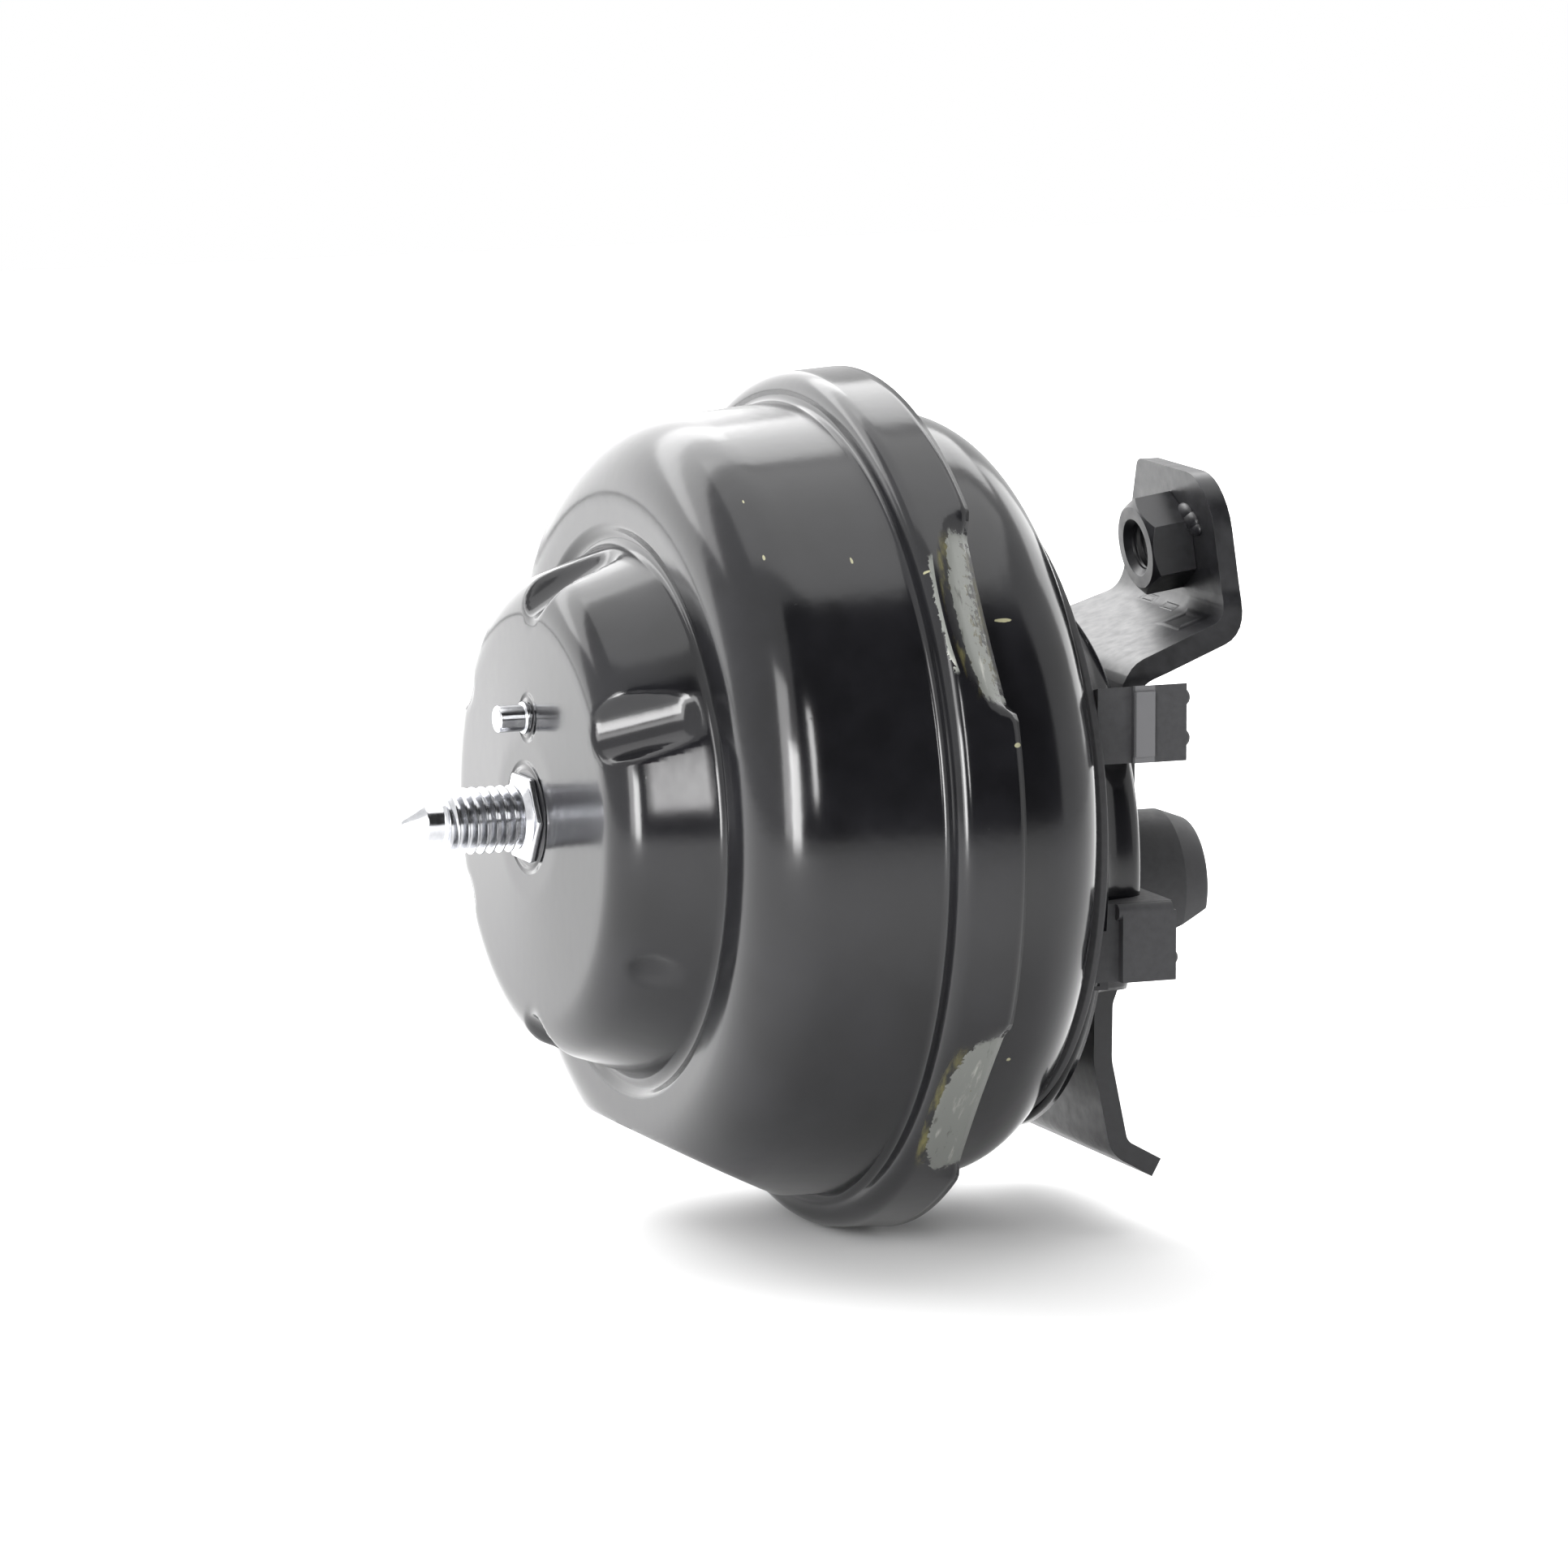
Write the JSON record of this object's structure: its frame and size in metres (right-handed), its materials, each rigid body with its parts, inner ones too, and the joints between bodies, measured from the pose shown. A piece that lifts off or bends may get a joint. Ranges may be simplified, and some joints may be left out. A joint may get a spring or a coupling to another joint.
{
  "type": "engine mount",
  "caption": "Hydraulic engine mount: black pressed-steel pot with a zinc-plated stud and pin, rubber spring inside, and a sheet-steel bracket with an ear, a leg and rubber stops.",
  "frame": {"origin": "on the mount's axis, at the outer face of the pot's boss where the stud stands", "axes": "+X along the mount's axis from the stud toward the bracket, +Z toward the bracket's ear"},
  "size_m": [0.1275, 0.1298, 0.1298],
  "materials": {
    "gloss_black": "gloss",
    "satin_black": "satin",
    "zinc": "satin",
    "plain_steel": "satin",
    "rubber": "matte"
  },
  "bodies": {
    "root": {"lower_cup": "gloss_black", "stud": "zinc", "locating_pin": "zinc", "diaphragm": "rubber", "diaphragm_ring": "plain_steel", "channel_lower_plate": "plain_steel", "channel_upper_plate": "plain_steel", "decoupler_disc": "rubber", "spring_ring": "plain_steel", "main_spring": "rubber", "core": "plain_steel", "upper_shell": "gloss_black", "rubber_collar": "rubber", "hub": "gloss_black", "bracket": "satin_black", "core_bolt": "plain_steel", "core_washer": "plain_steel", "weld_nut": "satin_black", "end_stop": "rubber", "side_block_upper": "rubber", "side_block_lower": "rubber", "rebound_ring": "rubber"}
  },
  "joints": []
}
